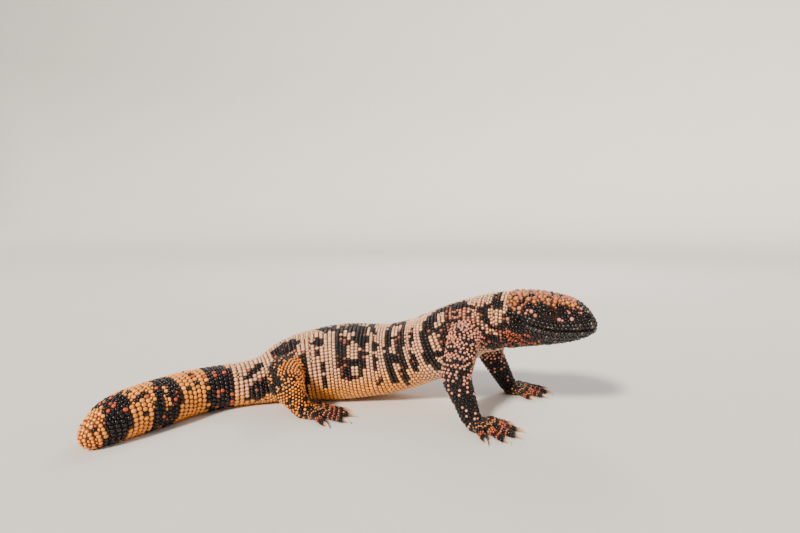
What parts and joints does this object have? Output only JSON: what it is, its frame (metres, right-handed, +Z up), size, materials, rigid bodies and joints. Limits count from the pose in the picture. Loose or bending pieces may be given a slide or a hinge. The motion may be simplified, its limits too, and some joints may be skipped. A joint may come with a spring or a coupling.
{
  "type": "gila monster",
  "caption": "Life-size gila monster, a stout beaded lizard, resting on belly and tail with its chest and head raised on its forelegs.",
  "frame": {"origin": "on the floor, at the middle of the model's box", "axes": "+X towards the head, +Y towards the animal's left side, +Z up"},
  "size_m": [0.387, 0.2138, 0.106],
  "materials": {
    "head_skin": "dark beaded skin with salmon beads on the crown, slightly shiny",
    "trunk_skin": "cream and black-brown beads in rows, satin",
    "tail_skin": "orange-cream and black bands of beads, satin",
    "limb_skin": "black skin with salmon and orange beads, satin",
    "eye_dark": "wet, nearly black eye",
    "claw_horn": "pale translucent horn, darker at the root"
  },
  "bodies": {
    "root": {"belly": "trunk_skin", "chest": "trunk_skin", "eye_left": "eye_dark", "eye_right": "eye_dark", "foot_left": "limb_skin", "foot_left_claw_1": "claw_horn", "foot_left_claw_2": "claw_horn", "foot_left_claw_3": "claw_horn", "foot_left_claw_4": "claw_horn", "foot_left_claw_5": "claw_horn", "foot_right": "limb_skin", "foot_right_claw_1": "claw_horn", "foot_right_claw_2": "claw_horn", "foot_right_claw_3": "claw_horn", "foot_right_claw_4": "claw_horn", "foot_right_claw_5": "claw_horn", "forearm_left": "limb_skin", "forearm_right": "limb_skin", "hand_left": "limb_skin", "hand_left_claw_1": "claw_horn", "hand_left_claw_2": "claw_horn", "hand_left_claw_3": "claw_horn", "hand_left_claw_4": "claw_horn", "hand_left_claw_5": "claw_horn", "hand_right": "limb_skin", "hand_right_claw_1": "claw_horn", "hand_right_claw_2": "claw_horn", "hand_right_claw_3": "claw_horn", "hand_right_claw_4": "claw_horn", "hand_right_claw_5": "claw_horn", "head": "head_skin", "lower_jaw": "head_skin", "neck": "trunk_skin", "pelvis": "trunk_skin", "shank_left": "limb_skin", "shank_right": "limb_skin", "tail_base": "tail_skin", "tail_end": "tail_skin", "tail_middle": "tail_skin", "thigh_left": "limb_skin", "thigh_right": "limb_skin", "upper_arm_left": "limb_skin", "upper_arm_right": "limb_skin"}
  },
  "joints": []
}
